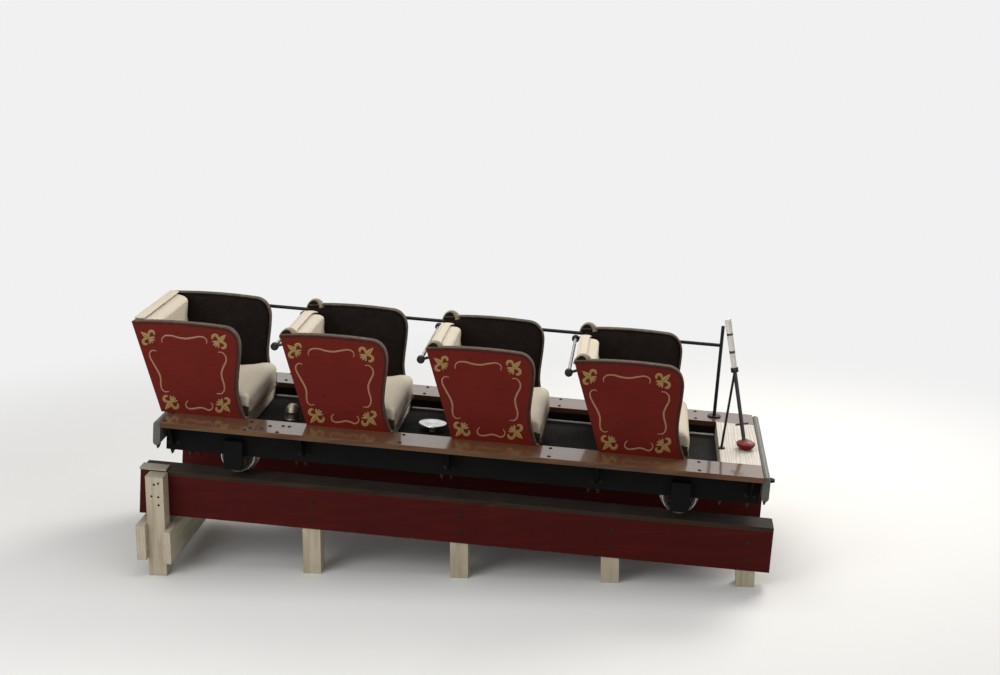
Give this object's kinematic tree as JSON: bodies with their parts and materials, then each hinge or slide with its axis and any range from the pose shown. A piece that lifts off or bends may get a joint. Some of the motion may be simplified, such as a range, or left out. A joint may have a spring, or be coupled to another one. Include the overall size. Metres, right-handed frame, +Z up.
{
  "type": "roller coaster car on a display stand",
  "caption": "Old open roller coaster car with bench seats between tall painted sides, on flanged wheels, standing on a sloping timber stand.",
  "frame": {"origin": "on the floor, in the middle of the length and of the width", "axes": "+X forward along the car, +Y to the car's left, +Z up"},
  "size_m": [4.1847, 1.532, 1.6613],
  "materials": {
    "panel_red": "glossy deep red paint with gold ornament",
    "beam_red": "satin dark red paint on timber",
    "cap_brown": "dark brown weathered plank",
    "post_cream": "cream painted timber",
    "varnished_plank": "glossy varnish on brown planks",
    "dark_boards": "dark painted boards",
    "pale_boards": "pale worn boards",
    "black_steel": "black enamel",
    "grey_paint": "grey-green paint on timber",
    "worn_steel": "worn steel",
    "cast_iron": "cast iron, bright on the tread",
    "dark_velvet": "dark brown velvet lining",
    "beige_velvet": "beige velvet",
    "pedestal_red": "red enamel",
    "bright_metal": "bright plate",
    "brass": "dull brass"
  },
  "bodies": {
    "car_and_stand": {"stand_beams": "beam_red", "stand_caps": "cap_brown", "stand_posts": "post_cream", "stand_ledgers": "post_cream", "side_planks": "varnished_plank", "sills": "black_steel", "cross_members": "black_steel", "plank_brackets": "black_steel", "well_floor": "dark_boards", "well_walls": "dark_boards", "rear_buffer": "grey_paint", "front_buffer": "grey_paint", "front_deck": "pale_boards", "drawbars": "black_steel", "axle_boxes": "black_steel", "seat1_panels": "panel_red", "seat1_linings": "dark_velvet", "seat1_back": "panel_red", "seat1_back_pad": "beige_velvet", "seat1_base": "beige_velvet", "seat1_cushion": "beige_velvet", "seat2_panels": "panel_red", "seat2_linings": "dark_velvet", "seat2_back": "panel_red", "seat2_back_pad": "beige_velvet", "seat2_base": "beige_velvet", "seat2_cushion": "beige_velvet", "seat3_panels": "panel_red", "seat3_linings": "dark_velvet", "seat3_back": "panel_red", "seat3_back_pad": "beige_velvet", "seat3_base": "beige_velvet", "seat3_cushion": "beige_velvet", "seat4_panels": "panel_red", "seat4_linings": "dark_velvet", "seat4_back": "panel_red", "seat4_back_pad": "beige_velvet", "seat4_base": "beige_velvet", "seat4_cushion": "beige_velvet", "grab_bars": "black_steel", "handrail": "black_steel", "brake_lever": "black_steel", "lever_brace": "black_steel", "lever_pedestal": "pedestal_red", "well_disc": "bright_metal", "well_dome": "brass"},
    "rear_wheelset": {"rear_axle": "worn_steel", "rear_wheels": "cast_iron"},
    "front_wheelset": {"front_axle": "worn_steel", "front_wheels": "cast_iron"}
  },
  "joints": [
    {"name": "rear_wheelset_spin", "type": "hinge", "parent": "car_and_stand", "child": "rear_wheelset", "pos_m": [-1.41122, 0, 0.75625], "axis": [0, 1, 0], "continuous": true},
    {"name": "front_wheelset_spin", "type": "hinge", "parent": "car_and_stand", "child": "front_wheelset", "pos_m": [1.47174, 0, 0.55466], "axis": [0, 1, 0], "continuous": true}
  ]
}
